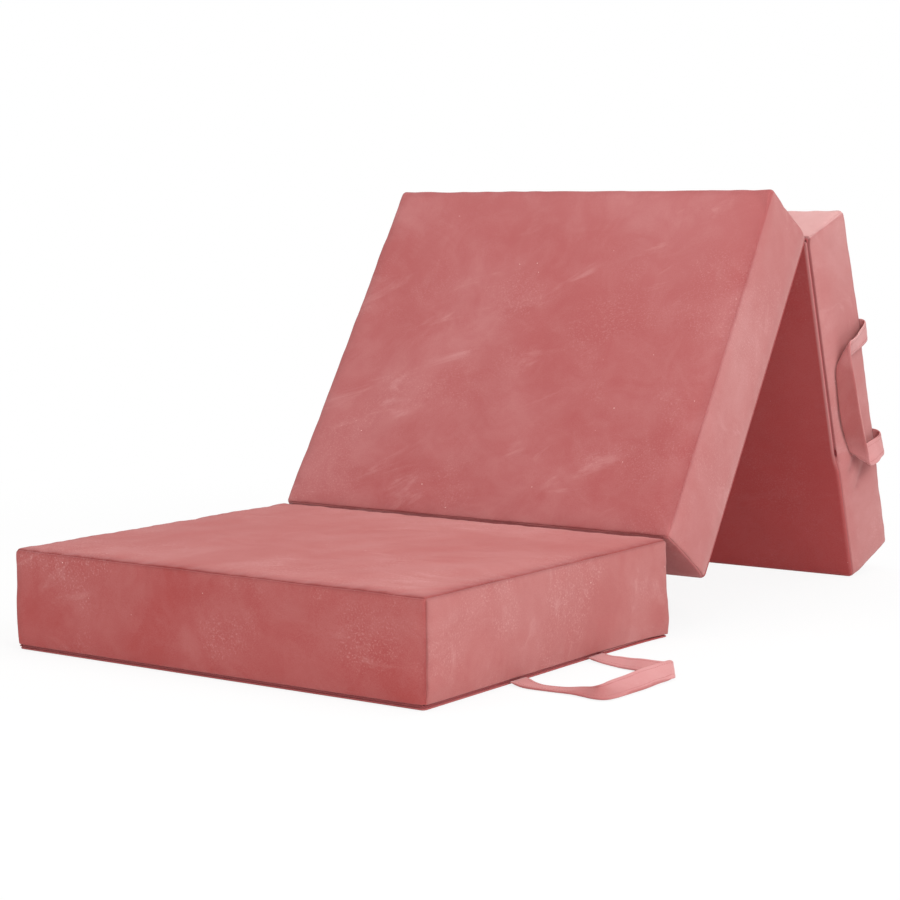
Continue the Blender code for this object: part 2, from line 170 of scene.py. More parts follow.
# Strap handles
STRAP_WIDTH = 36 * MM
STRAP_CLOTH = 3.6 * MM
STRAP_NECK = 12 * MM
RUMPLE = 0.7 * MM
RUMPLE_WAVE = 45 * MM
RUMPLE_START = 30 * MM
RUMPLE_SEED = 71
CHANNEL_WIDTH = 3 * MM
CHANNEL_SHARE = 0.22
STRAP_SEAM_GAP = 0.75 * MM
STRAP_STATIONS = 220
STITCH_INSET = 6.5 * MM
STITCH_PITCH = 4.2 * MM
STITCH_LENGTH = 3.0 * MM
STITCH_RADIUS = 0.32 * MM


class Panel:
    """A panel's frame: its origin and its three axes in the world."""

    def __init__(self, body, origin, along, upward):
        """The first axis is the world's, because the folds turn about it."""
        self.body = body
        self.origin = np.array(origin, float)
        self.axes = np.array([[1.0, 0.0, 0.0], along, upward])

    def place(self, points):
        """World points of points in the panel's frame."""
        return self.origin + np.asarray(points, float) @ self.axes

    def way(self, direction):
        """The world direction of a direction in the panel's frame."""
        return np.asarray(direction, float) @ self.axes

    def local(self, points):
        """World points in the panel's frame."""
        return (points - self.origin) @ self.axes.T


def panels():
    """The three panels' frames: each fold's axis gives a panel's origin and the fold angle its lean."""
    joints = {joint["name"]: joint for joint in frame["joints"]}
    front = np.array(joints["back_fold"]["pos_m"])
    rear = np.array(joints["rear_fold"]["pos_m"])
    lean = math.radians(max(joints["back_fold"]["range_deg"]))
    down = -np.array(joints["rear_strap_swing"]["axis"])
    up_back = np.array([0, -math.sin(lean), math.cos(lean)])
    up_rear = np.array([0, -down[2], down[1]])
    seat = Panel("seat", (0, front[1] - PANEL_PITCH, 0), (0, 1, 0), UP)
    along_back = (0, math.cos(lean), math.sin(lean))
    back_origin = front - up_back * (PANEL_THICKNESS + FOLD_CLEARANCE)
    back = Panel("back", back_origin, along_back, up_back)
    rear = Panel("rear", rear + up_rear * FOLD_CLEARANCE, down, up_rear)
    return seat, back, rear


SEAT, BACK, REAR = panels()


# Meshes from arrays

def mesh_object(name, points, faces, smooth=True):
    """An object whose mesh holds these points and four-cornered faces, with its place in the mesh."""
    mesh = bpy.data.meshes.new(name)
    faces = np.asarray(faces, np.int32)
    mesh.vertices.add(len(points))
    mesh.vertices.foreach_set("co", np.asarray(points, np.float32).ravel())
    mesh.loops.add(faces.size)
    mesh.loops.foreach_set("vertex_index", faces.ravel())
    mesh.polygons.add(len(faces))
    mesh.polygons.foreach_set("loop_start", np.arange(0, faces.size, faces.shape[1], dtype=np.int32))
    mesh.update(calc_edges=True)
    mesh.validate()
    if smooth:
        mesh.shade_smooth()
    piece = bpy.data.objects.new(name, mesh)
    bpy.context.scene.collection.objects.link(piece)
    return piece


def unit(ways):
    """Rows of an array at length 1."""
    return ways / np.linalg.norm(ways, axis=-1, keepdims=True)


def travel_along(points):
    """How far each row of a path lies from its start, along it."""
    return np.concatenate([[0], np.cumsum(np.linalg.norm(np.diff(points, axis=0), axis=1))])


def circle(count, power_across=1.0, power_up=1.0):
    """A circle as (across, up), each from -1 to 1; powers below 1 square it, as a superellipse."""
    turn = np.linspace(0, 2 * np.pi, count, endpoint=False)
    across, up = np.cos(turn), np.sin(turn)
    return np.sign(across) * np.abs(across) ** power_across, np.sign(up) * np.abs(up) ** power_up


def places_of(piece):
    """A mesh's points as rows of an array."""
    points = np.empty(len(piece.data.vertices) * 3, np.float32)
    piece.data.vertices.foreach_get("co", points)
    return points.reshape(-1, 3).astype(float)


def move_to(piece, points):
    """Puts a mesh's points at these places."""
    piece.data.vertices.foreach_set("co", points.astype(np.float32).ravel())
    piece.data.update()


def paint(piece, **shares):
    """Writes one share per point into the mesh for each name, for its material to read."""
    for name, values in shares.items():
        attribute = piece.data.attributes.new(name, "FLOAT", "POINT")
        attribute.data.foreach_set("value", values.astype(np.float32))


def grid_faces(rows, columns, closed=False, first=0):
    """Faces of a grid of rows by columns points; closed joins the last column to the first."""
    index = np.arange(rows * columns).reshape(rows, columns) + first
    if closed:
        index = np.concatenate([index, index[:, :1]], axis=1)
    return np.stack([index[:-1, :-1], index[:-1, 1:], index[1:, 1:], index[1:, :-1]], -1).reshape(-1, 4)


def weld(piece, distance=0.02 * MM):
    """Merges the doubles of a piece's separate grids and turns its faces outwards."""
    work = bmesh.new()
    work.from_mesh(piece.data)
    bmesh.ops.remove_doubles(work, verts=work.verts, dist=distance)
    bmesh.ops.dissolve_degenerate(work, edges=work.edges, dist=distance / 10)
    bmesh.ops.recalc_face_normals(work, faces=work.faces)
    work.to_mesh(piece.data)
    work.free()
    piece.data.shade_smooth()
    return piece


def tube(name, section):
    """A closed solid: section (rows of stations by points around by 3) joined along, with flat caps."""
    rows, columns = section.shape[:2]
    faces = [grid_faces(rows, columns, closed=True)]
    points = [section.reshape(-1, 3)]
    first = rows * columns
    for row in (0, rows - 1):
        centre = section[row].mean(axis=0)
        ring = np.concatenate([np.repeat(centre[None], columns, 0), section[row]])
        points.append(ring)
        faces.append(grid_faces(2, columns, closed=True, first=first))
        first += 2 * columns
    return weld(mesh_object(name, np.concatenate(points), np.concatenate(faces)))


def spline(table, count):
    """A smooth curve through the rows of a table (Catmull and Rom's cubic), at count even parameters."""
    table = np.asarray(table, float)
    ends = np.concatenate([2 * table[:1] - table[1:2], table, 2 * table[-1:] - table[-2:-1]])
    t = np.linspace(0, len(table) - 1, count)
    i = np.minimum(t.astype(int), len(table) - 2)
    t = (t - i)[:, None]
    a, b, c, d = (ends[i + k] for k in range(4))
    return 0.5 * (2 * b + (c - a) * t + (2 * a - 5 * b + 4 * c - d) * t**2 + (3 * b - a - 3 * c + d) * t**3)


def even(points, count):
    """A curve's rows respaced to even lengths along its first three columns."""
    travel = travel_along(points[:, :3])
    want = np.linspace(0, travel[-1], count)
    return np.stack([np.interp(want, travel, column) for column in points.T], 1)


def waves(points, wave, seed, count=9):
    """A smooth random field: the mean of plane waves in random ways, each near the wave length given."""
    draw = np.random.default_rng(seed)
    ways = unit(draw.normal(size=(count, 3)))
    lengths = wave * draw.uniform(0.6, 1.6, count)
    phases = draw.uniform(0, 2 * np.pi, count)
    return np.sin(points @ (ways / lengths[:, None]).T * 2 * np.pi + phases).sum(1) / math.sqrt(count)


def smooth_step(share):
    """A share held between 0 and 1 and eased at both: three squares less two cubes."""
    share = np.clip(share, 0, 1)
    return share * share * (3 - 2 * share)


# Rounded boxes, the base of pads and base sheets

def stops(low, high, step):
    """Stops across a face as (place, slope): flat ones between low and high, rolled ones at both ends."""
    flat = np.linspace(low, high, max(2, int(math.ceil((high - low) / step)) + 1))
    roll = np.tan(np.radians(ROLL_DEGREES))
    place = np.concatenate([np.full(len(roll), low), flat, np.full(len(roll), high)])
    slope = np.concatenate([-roll[::-1], np.zeros(len(flat)), roll])
    return place, slope


def rounded_box(low, high, plan_radius, foot_radius, top_radius, step):
    """Points, outward ways and faces of a box whose edges are rounded: each point is the nearest point of
    an inner core box plus the way out from it times the edge radius, so all six faces meet at the seams."""
    low, high = np.array(low, float), np.array(high, float)
    inset = np.array([plan_radius, plan_radius, 0.0])
    core = np.stack([low + inset + [0, 0, foot_radius], high - inset - [0, 0, top_radius]])
    points, ways, faces, first = [], [], [], 0
    for axis in range(3):
        u, v = [other for other in range(3) if other != axis]
        place_u, slope_u = stops(core[0][u], core[1][u], step)
        place_v, slope_v = stops(core[0][v], core[1][v], step)
        for side in (0, 1):
            shape = (len(place_u), len(place_v), 3)
            at, way = np.zeros(shape), np.zeros(shape)
            at[..., axis], way[..., axis] = core[side][axis], 2 * side - 1
            at[..., u], way[..., u] = place_u[:, None], slope_u[:, None]
            at[..., v], way[..., v] = place_v[None], slope_v[None]
            way = unit(way)
            rise = np.where(way[..., 2] < 0, foot_radius, top_radius)
            reach = np.stack([np.full(shape[:2], plan_radius)] * 2 + [rise], -1)
            points.append((at + way * reach).reshape(-1, 3))
            ways.append(way.reshape(-1, 3))
            faces.append(grid_faces(*shape[:2], first=first))
            first += shape[0] * shape[1]
    return np.concatenate(points), np.concatenate(ways), np.concatenate(faces)


def gaps_to(points, low, high):
    """How far each point lies from the nearer side, from the nearer end and from the top."""
    gaps = np.minimum(points - low, high - points)
    gaps[:, 2] = (high - points)[:, 2]
    return gaps


def seam_distances(points, ways, low, high):
    """For each point, how far it is from the nearest sewn edge: along the rounding, and over the face."""
    out = np.abs(ways)
    out[:, 2] = np.maximum(ways[:, 2], 0)
    gaps = gaps_to(points, low, high)
    near, far = [], []
    for i, j in ((0, 1), (0, 2), (1, 2)):
        near.append(EDGE_RADIUS * np.abs(np.arctan2(out[:, i], out[:, j]) - np.pi / 4))
        far.append(np.hypot(gaps[:, i], gaps[:, j]))
    return np.min(near, axis=0), np.maximum(np.min(far, axis=0) - ROLL_DEPTH * math.sqrt(2), 0)


def seam_closeness(points, low, high, hidden_fold):
    """Two shares from 1 at a sewn edge to 0: one within the seam's own width, one over the cloth beside
    it, strongest on the top, for its pressed pile and painted shade. hidden_fold leaves out the low end's
    edge."""
    gaps = np.sort(np.maximum(gaps_to(points, low, high), 0), axis=1)
    near = np.hypot(gaps[:, 0] - ROLL_DEPTH, gaps[:, 1] - ROLL_DEPTH)
    close = 0.5 * sum(np.exp(-((near / (share * SEAM_WIDTH)) ** 2)) for share in (4, 1.2))
    top = smooth_step((points[:, 2] - high[2] + EDGE_RADIUS) / EDGE_RADIUS)
    beside = np.exp(-np.maximum(gaps[:, 1] - EDGE_RADIUS, 0) / PRESSED_REACH) * top
    if hidden_fold:
        away = smooth_step((points[:, 1] - low[1] - EDGE_RADIUS) / (4 * EDGE_RADIUS))
        close, beside = close * away, beside * away
    return close, beside


def let_out(points, low, high):
    """A share from 1 at the foot of a panel's two high-end corners to 0 away from them."""
    gaps = np.maximum(high - np.abs(points), 0)
    level = 1 - smooth_step((points[:, 2] - low[2]) / LET_OUT_HEIGHT)
    return np.exp(-gaps[:, 0] / LET_OUT_REACH) * np.exp(-gaps[:, 1] / LET_OUT_REACH) * level


def zip_side(points):
    """A share of 1 beside the rear panel's zip, on its right side up to the zip's end, else 0."""
    beside = smooth_step((points[:, 0] - HALF_WIDTH) / PUCKER_REACH + 1)
    return beside * (1 - smooth_step((points[:, 1] - ZIP_ENDS["rear"]) / ZIP_CORNER))


def creased(points):
    """A share of 1 along the middle of each crease on the rear panel's right side, widening from its tip
    to its mouth and falling off as a bell across it."""
    share = np.zeros(len(points))
    for tip, mouth, wide in CREASES:
        way = (np.array(mouth) - tip) * MM
        length = np.linalg.norm(way)
        gap = points[:, 1:] - np.array(tip) * MM
        along = gap @ way / length**2
        across = gap @ np.array([-way[1], way[0]]) / length
        bell = np.exp(-((across / (wide * MM * np.clip(along, 0.3, 1))) ** 2))
        share = np.maximum(share, bell * smooth_step(3 * along) * smooth_step(3 * (1.2 - along)))
    return share * smooth_step((points[:, 0] - HALF_WIDTH) / PUCKER_REACH + 1)


def draw_in(piece, panel):
    """Draws the rear panel's right side in along its zip, most at its foot, on a finished mesh."""
    if panel.body == "rear":
        local = panel.local(places_of(piece))
        inside = smooth_step(1 - (HALF_WIDTH - local[:, 0]) / ZIP_DRAW_REACH)
        level = 1 - smooth_step(local[:, 2] / ZIP_DRAW_REACH)
        along = smooth_step(local[:, 1] / ZIP_CORNER)
        along *= 1 - smooth_step((local[:, 1] - ZIP_ENDS["rear"]) / (2 * ZIP_CORNER))
        local[:, 0] -= ZIP_DRAW * inside * level * along
        move_to(piece, panel.place(local))
    return piece


def stuffed(points, low, high, body):
    """The crown of the top and the draw of the four sides, largest at the middle of each face, and the
    tuck of the cloth towards the base seam. The seat's rear corners are let out at the foot, the back's
    and the rear panel's right sides taper towards the fold between them, and the rear panel is creased,
    its foot lifted beside its zip."""
    middle, half = (low + high) / 2, (high - low) / 2
    share = np.clip((points - middle) / half, -1, 1)
    bulge = np.maximum(1 - share**2, 0)
    moved = points.copy()
    moved[:, 2] += CROWN * bulge[:, 0] * bulge[:, 1] * smooth_step(share[:, 2])
    tuck = 1 - smooth_step((points[:, 2] - low[2]) / TUCK_REACH)
    drawn = SIDE_DRAW * bulge[:, 1] * bulge[:, 2] + TUCK * tuck * np.abs(share[:, 0]) ** TUCK_POWER
    moved[:, 0] -= share[:, 0] * drawn
    draw = np.where(np.isin(np.sign(share[:, 1]), FOLD_ENDS[body]), FOLD_DRAW, SIDE_DRAW)
    moved[:, 1] -= share[:, 1] * draw * bulge[:, 0] ** 0.5 * bulge[:, 2]
    if body == "seat":
        corner = let_out(points, low, high)
        moved[:, 0] += np.sign(points[:, 0]) * LET_OUT * corner
        moved[:, 2] -= LET_OUT_DROP * corner
    else:
        taper, along, start_along, up, start_up = TAPERS[body]
        upper = smooth_step(share[:, 0]) * smooth_step(along * share[:, 1] + start_along)
        moved[:, 0] -= taper * upper * smooth_step(up * share[:, 2] + start_up)
    if body == "rear":
        foot = 1 - smooth_step((points[:, 2] - low[2]) / (4 * GROOVE_LIFT))
        moved[:, 2] += GROOVE_LIFT * zip_side(points) * foot
        moved[:, 0] -= CREASE_DEPTH * creased(points)
    return moved


def swell(piece, pinned):
    """Runs the cloth simulation on a closed pad: pressure fills it, the seams hold it, and each point
    moves by at most the cap. The result is written into the mesh and the modifier is removed."""
    group = piece.vertex_groups.new(name="seams")
    group.add([int(i) for i in np.flatnonzero(pinned)], 1, "REPLACE")
    cloth = piece.modifiers.new("Swell", "CLOTH")
    for key, value in CLOTH.items():
        setattr(cloth.settings, key, value)
    cloth.settings.effector_weights.gravity = 0
    cloth.settings.vertex_group_mass = group.name
    cloth.collision_settings.use_collision = False
    rest = places_of(piece)
    for step in range(1, CLOTH_FRAMES + 1):
        bpy.context.scene.frame_set(step)
    shift = places_of(piece.evaluated_get(bpy.context.evaluated_depsgraph_get())) - rest
    shift *= CLOTH_CAP / (CLOTH_CAP + np.linalg.norm(shift, axis=1, keepdims=True))
    piece.modifiers.remove(cloth)
    piece.vertex_groups.remove(group)
    move_to(piece, rest + shift)
    bpy.context.scene.frame_set(1)
    print(piece.name, "swelled by up to", round(float(np.abs(shift).max()) / MM, 2), "mm")


def subdivide(piece, levels=1):
    """Subdivision at a few levels, the same in the view and in the render."""
    finer = piece.modifiers.new("Finer", "SUBSURF")
    finer.levels = finer.render_levels = levels


# Shader groups and materials

def group(name, inputs, outputs):
    """A new shader group with float, colour or vector sockets, and its input and output nodes."""
    made = bpy.data.node_groups.new(name, "ShaderNodeTree")
    for direction, sockets in (("INPUT", inputs), ("OUTPUT", outputs)):
        for label, kind in sockets:
            made.interface.new_socket(label, in_out=direction, socket_type="NodeSocket" + kind)
    return made, made.nodes.new("NodeGroupInput"), made.nodes.new("NodeGroupOutput")


def feed(tree, target, links):
    """Fills a node's inputs; links are (input socket, source socket or value)."""
    for socket, source in links:
        if isinstance(source, bpy.types.NodeSocket):
            tree.links.new(source, target.inputs[socket])
        else:
            target.inputs[socket].default_value = source


def node(tree, kind, links=(), **settings):
    """A node of a kind, with its settings made and its inputs filled."""
    made = tree.nodes.new("ShaderNode" + kind)
    for key, value in settings.items():
        setattr(made, key, value)
    feed(tree, made, links)
    return made


def noise(tree, vector, scale, detail=2.0, roughness=0.5, distortion=0.0):
    """Soft random blotches between 0 and 1, as many to a metre as the scale says."""
    links = (("Vector", vector), ("Scale", scale), ("Detail", detail))
    links += (("Roughness", roughness), ("Distortion", distortion))
    return node(tree, "TexNoise", links).outputs["Fac"]


def calculate(tree, operation, first, second, clamp=False):
    """One sum of two values or sockets."""
    return node(tree, "Math", ((0, first), (1, second)), operation=operation, use_clamp=clamp).outputs[0]


def times(tree, first, second):
    """Two values multiplied."""
    return calculate(tree, "MULTIPLY", first, second)


def plus(tree, first, second, clamp=False):
    """Two values added."""
    return calculate(tree, "ADD", first, second, clamp)


def painted(tree, label):
    """The share that paint() wrote into the mesh under this name."""
    return node(tree, "Attribute", attribute_name=label).outputs["Fac"]


def spread(tree, value, low, high, to_low=0.0, to_high=1.0):
    """A value's range from low to high, smoothly mapped to another."""
    links = (("Value", value), ("From Min", low), ("From Max", high))
    links += (("To Min", to_low), ("To Max", to_high))
    return node(tree, "MapRange", links, interpolation_type="SMOOTHSTEP").outputs[0]


def mix_colour(tree, factor, first, second, blend="MIX"):
    """The first colour mixed with the second, or multiplied by it, by the share that the factor gives."""
    links = ((0, factor), (6, first), (7, second))
    return node(tree, "Mix", links, data_type="RGBA", blend_type=blend).outputs[2]


def velvet_group():
    """Brushed pile on a cloth colour: broad patches where the pile lies another way, pale hand strokes
    with curled edges, clusters of pale grain, the pile itself and a few specks of lint."""
    inputs = (("Vector", "Vector"), ("Stroke Vector", "Vector"), ("Color", "Color"), ("Patches", "Float"))
    inputs += (("Strokes", "Float"), ("Grain", "Float"))
    outputs = (("Color", "Color"), ("Roughness", "Float"), ("Height", "Float"))
    tree, given, result = group("velvet_pile", inputs, outputs)
    vector, stroke, cloth = (given.outputs[label] for label in ("Vector", "Stroke Vector", "Color"))
    broad = spread(tree, noise(tree, vector, 3.4, 5.0, 0.62, 0.6), 0.36, 0.66)
    small = spread(tree, noise(tree, vector, 13.0, 5.0, 0.65, 0.9), 0.36, 0.68)
    patch = plus(tree, times(tree, broad, 0.65), times(tree, small, 0.35))
    patch = times(tree, patch, given.outputs["Patches"])
    lines = spread(tree, noise(tree, stroke, 13.0, 7.0, 0.66, 1.3), 0.53, 0.70)
    where = spread(tree, noise(tree, vector, 5.2, 3.0, 0.5, 0.3), 0.44, 0.62)
    strokes = times(tree, times(tree, lines, where), given.outputs["Strokes"])
    cluster = spread(tree, noise(tree, vector, 5.0, 3.0, 0.6), 0.50, 0.62)
    cluster = times(tree, cluster, given.outputs["Grain"])
    grains = spread(tree, noise(tree, vector, 330.0, 3.0, 0.7), 0.50, 0.72)
    speckle = times(tree, cluster, grains)
    pile = noise(tree, vector, 900.0, 2.0, 0.7)
    fine = spread(tree, pile, 0.3, 0.7, -0.09, 0.09)
    pale = plus(tree, plus(tree, patch, strokes), plus(tree, speckle, fine), clamp=True)
    deep_colour = mix_colour(tree, 1.0, cloth, (0.86, 0.80, 0.80, 1), "MULTIPLY")
    pale_colour = mix_colour(tree, 0.27, cloth, (0.92, 0.72, 0.70, 1))
    colour = mix_colour(tree, pale, deep_colour, pale_colour)
    lint = node(tree, "TexVoronoi", (("Vector", vector), ("Scale", 34.0))).outputs["Distance"]
    speck = times(tree, spread(tree, lint, 0.034, 0.020), spread(tree, small, 0.3, 0.6))
    colour = mix_colour(tree, speck, colour, (0.90, 0.68, 0.64, 1))
    rough = spread(tree, patch, 0.0, 1.0, 0.90, 0.74)
    height = plus(tree, times(tree, pile, 0.35), times(tree, pale, 0.5))
    feed(tree, result, (("Color", colour), ("Roughness", rough), ("Height", height)))
    return tree


def new_material(name):
    """A new material, with its tree, its shader and its Object coordinates."""
    made = bpy.data.materials.new(name)
    made.use_nodes = True
    tree = made.node_tree
    shader = tree.nodes["Principled BSDF"]
    coordinates = node(tree, "TexCoord").outputs["Object"]
    return made, tree, shader, coordinates


def bump(tree, height, strength, distance):
    """A normal that a height from 0 to 1 tilts, as if it stood out by the distance."""
    links = (("Height", height), ("Strength", strength), ("Distance", distance))
    return node(tree, "Bump", links).outputs[0]


def velvet(name, axes, cloth, side=None, end=None, stroke=0.0, amounts=(0.5, 0.5, 0.4), sheen=0.3,
           offset=0.0, rim=None, turned=None, edge=None):
    """Short-pile velvet of a panel with these axes. The side and end sheets may take colours of their own,
    as painted sheen and shade for how the light and the view fall on them. Strokes run at the angle given,
    in degrees."""
    made, tree, shader, coordinates = new_material(name)
    tilt = -math.atan2(axes[1][2], axes[1][1])
    links = (("Vector", coordinates), ("Location", (offset, 0, 0)), ("Rotation", (tilt, 0, 0)))
    level = node(tree, "Mapping", links).outputs[0]
    links = (("Vector", level), ("Rotation", (0, 0, math.radians(stroke))), ("Scale", (2.6, 0.7, 1.0)))
    stretched = node(tree, "Mapping", links, vector_type="TEXTURE").outputs[0]
    colour = (*cloth, 1)
    # Painted light: sheen and shade on the side and end sheets, a highlight on the base sheets' rim, shade
    # where the strap turns and a highlight along the strap's edge
    for label, other in (("side_sheet", side), ("end_sheet", end), ("rim", rim), ("turned", turned),
                         ("strap_edge", edge)):
        if other:
            colour = mix_colour(tree, painted(tree, label), colour, (*other, 1))
    patches, strokes, grain = amounts
    if side:
        brushed = painted(tree, "brushed")
        colour = mix_colour(tree, times(tree, brushed, BRUSHED_SHARE), colour, BRUSHED_COLOUR)
        strokes = times(tree, strokes, plus(tree, 1.0, brushed))
    links = (("Vector", level), ("Stroke Vector", stretched), ("Color", colour), ("Patches", patches),
             ("Strokes", strokes), ("Grain", grain))
    pile = node(tree, "Group", links, node_tree=VELVET).outputs
    colour = pile["Color"]
    if side:
        # Dark seam lines and painted shade in the rear zip's groove and creases, then the cloth beside the
        # seams darkened for pressed pile and painted shade
        for label, depth in (("beside_seam", PRESSED_COLOUR), ("seam", SEAM_COLOUR)):
            share = painted(tree, label)
            colour = mix_colour(tree, share, colour, mix_colour(tree, 1.0, colour, depth, "MULTIPLY"))
    feed(tree, shader, (
        ("Base Color", colour), ("Roughness", pile["Roughness"]), ("Sheen Weight", sheen),
        ("Sheen Roughness", 0.45), ("Sheen Tint", (1.0, 0.86, 0.84, 1)), ("Specular IOR Level", 0.15),
        ("Normal", bump(tree, pile["Height"], 0.5, 0.5 * MM))))
    return made


def zip_cloth(name, colour):
    """Woven zip tape: fine ribs across it, worked out from the place."""
    made, tree, shader, coordinates = new_material(name)
    ribs = node(tree, "TexWave", (("Vector", coordinates), ("Scale", 420.0), ("Distortion", 1.2)))
    mottle = noise(tree, coordinates, 60.0, 3.0)
    shade = times(tree, ribs.outputs["Fac"], spread(tree, mottle, 0.3, 0.7, 0.6, 1.0))
    dark = (*[0.72 * value for value in colour], 1)
    feed(tree, shader, (
        ("Base Color", mix_colour(tree, shade, dark, (*colour, 1))),
        ("Roughness", spread(tree, mottle, 0.3, 0.7, 0.62, 0.8)),
        ("Normal", bump(tree, shade, 0.4, 0.3 * MM))))
    return made


def smooth_finish(name, colour, roughness, metallic):
    """Painted metal or moulded plastic: faint uneven gloss and a little wear of the colour."""
    made, tree, shader, coordinates = new_material(name)
    cloud = noise(tree, coordinates, 240.0, 4.0, 0.6)
    worn = (*[min(1, 1.25 * value + 0.04) for value in colour], 1)
    feed(tree, shader, (
        ("Base Color", mix_colour(tree, spread(tree, cloud, 0.55, 0.8), (*colour, 1), worn)),
        ("Roughness", spread(tree, cloud, 0.3, 0.7, roughness, roughness + 0.15)),
        ("Metallic", metallic),
        ("Normal", bump(tree, cloud, 0.15, 0.1 * MM))))
    return made


VELVET = velvet_group()
SEAM_COLOUR = (0.52, 0.36, 0.38, 1)
PRESSED_COLOUR = (0.80, 0.71, 0.73, 1)
BRUSHED_COLOUR = (0.90, 0.60, 0.60, 1)
BRUSHED_SHARE = 0.07
# The three panels are one cloth: their cloth colours and their side and end colours differ as painted sheen
# and shade, for how the light and the view fall on each face
SEAT_VELVET = velvet("velvet_seat", SEAT.axes, (0.485, 0.094, 0.088), (0.495, 0.148, 0.14),
                     (0.48, 0.088, 0.083), 8, (0.32, 0.30, 0.55))
BACK_VELVET = velvet("velvet_back", BACK.axes, (0.480, 0.126, 0.125), (0.54, 0.188, 0.183),
                     None, 26, (0.36, 0.36, 0.35), offset=3.0)
REAR_VELVET = velvet("velvet_rear", REAR.axes, (0.480, 0.126, 0.125), (0.57, 0.21, 0.205),
                     (0.66, 0.34, 0.33), 20, (0.38, 0.25, 0.35), offset=7.0)
# The base sheets' rim takes a paler colour as a painted highlight where the lip catches the light, palest
# on the rear panel
BASE_VELVET, REAR_BASE_VELVET = [
    velvet(name, BACK.axes, (0.52, 0.088, 0.088), amounts=(0.12, 0.06, 0.2), sheen=0.15, offset=11.0,
           rim=rim)
    for name, rim in (("velvet_base", (0.50, 0.125, 0.125)), ("velvet_base_rear", (0.60, 0.24, 0.235)))]
PIPING_VELVET = velvet("velvet_piping", SEAT.axes, (0.45, 0.13, 0.13), amounts=(0.2, 0.1, 0.2), sheen=0.2,
                       offset=9.0)
# The strap's turned colour is painted shade, and its edge colour a painted highlight
STRAP_VELVET = velvet("velvet_strap", SEAT.axes, (0.68, 0.28, 0.28), amounts=(0.4, 0.1, 0.3), sheen=0.4,
                      offset=5.0, turned=(0.42, 0.09, 0.085), edge=(0.74, 0.38, 0.37))
# The fold webs' cloth is darkened almost to black as painted shade for the gap in the folds
WEB_VELVET = velvet("velvet_web", SEAT.axes, (0.18, 0.028, 0.03), amounts=(0.3, 0.0, 0.2), sheen=0.15,
                    offset=13.0)
ZIP_TAPE = zip_cloth("zip_tape", (0.44, 0.085, 0.09))
ZIP_TEETH = smooth_finish("zip_teeth", (0.38, 0.08, 0.085), 0.4, 0.0)
ZIP_METAL = smooth_finish("zip_metal", (0.26, 0.03, 0.035), 0.3, 0.6)
THREAD = smooth_finish("thread", (0.42, 0.10, 0.10), 0.6, 0.0)


def finish(piece, material, slot, body, *nodes):
    """Gives a piece its material, sets it riding on its body, and hides the solids it stands for. The slot
    is not used.
    """
    piece.data.materials.append(material)
    if body:
        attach(piece, body)
    if nodes:
        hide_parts(*nodes)


# Panels

STUFFED_NODES = ("_top_sheet", "_low_end_band", "_high_end_band", "_right_band", "_left_band",
                 "_comfort_foam", "_support_foam")


def cushion(panel, material, seed):
    """A panel's stuffed cover: a rounded box from the foot of its bands to its top, with a sewn groove
    along each edge, puckers beside the seams and a slow sway over its faces, then swelled as cloth."""
    low = np.array([-HALF_WIDTH - SIDE_EASE, FOLD_CLEARANCE, BAND_FOOT])
    high = np.array([HALF_WIDTH + SIDE_EASE, PANEL_PITCH - FOLD_CLEARANCE, PANEL_THICKNESS + TOP_EASE])
    if panel.body == "rear":
        high[1] += REAR_END_EASE
    points, ways, faces = rounded_box(low, high, EDGE_RADIUS, FOOT_RADIUS, EDGE_RADIUS, PAD_STEP)
    near, far = seam_distances(points, ways, low, high)
    groove = -SEAM_DEPTH * np.exp(-((near / SEAM_WIDTH) ** 2)) - PILLOW * np.exp(-far / PILLOW_REACH)
    above = smooth_step((points[:, 2] - BAND_FOOT) / PUCKER_REACH)
    pucker = PUCKER * waves(points, PUCKER_WAVE, seed) * np.exp(-((far / PUCKER_REACH) ** 2)) * above
    open_face = smooth_step(far / (4 * PUCKER_REACH)) * above
    sway = SWAY * waves(points, SWAY_WAVE, seed + 1) * open_face
    wander = WANDER * np.stack([waves(points, WANDER_WAVE, seed + 2 + axis) for axis in range(3)], 1)
    shaped = stuffed(points, low, high, panel.body) + ways * (groove + pucker + sway)[:, None]
    shaped += wander * above[:, None]
    piece = weld(mesh_object(panel.body + "_cushion", panel.place(shaped), faces))
    local = panel.local(places_of(piece))
    edge = gaps_to(local, low, high)
    pinned = (np.sort(edge, axis=1)[:, 1] < SEAM_HOLD) | (local[:, 2] < BAND_FOOT + EDGE_RADIUS)
    seam, beside = seam_closeness(local, low, high, panel.body == "back")
    seam, beside = seam * SEAM_SHARES[panel.body][0], beside * SEAM_SHARES[panel.body][1]
    # Masks of the side and end sheets, which take their painted sheen and shade in the material
    side = np.clip(0.5 + (edge[:, [1, 2]].min(axis=1) - edge[:, 0]) / SEAM_WIDTH, 0, 1)
    end = np.clip(0.5 + (edge[:, [0, 2]].min(axis=1) - edge[:, 1]) / SEAM_WIDTH, 0, 1)
    if panel.body == "rear":
        # Painted shade in the groove under the foot lifted beside the rear zip, and in the creases
        in_groove = 1 - smooth_step((local[:, 2] - BAND_FOOT - GROOVE_LIFT) / FOOT_RADIUS)
        seam = np.maximum(seam, zip_side(local) * in_groove)
        seam = np.maximum(seam, CREASE_SHADE * creased(local))
    brushed = np.zeros(len(local))
    if panel.body == "back":
        for across, along, wide, long, strength in BRUSHED:
            gap = ((local[:, 0] - across) / wide) ** 2 + ((local[:, 1] - along) / long) ** 2
            brushed += strength * np.exp(-gap) * (1 - np.maximum(side, end))
    paint(piece, seam=seam, beside_seam=beside, side_sheet=side, end_sheet=end, brushed=brushed)
    draw_in(piece, panel)
    swell(piece, pinned)
    subdivide(piece)
    finish(piece, material, "velvet", panel.body, *[panel.body + label for label in STUFFED_NODES])
    if panel.body != "rear":
        foot = tuple(panel.place((0, 0, BAND_FOOT + FOOT_RADIUS)))
        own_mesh(piece)


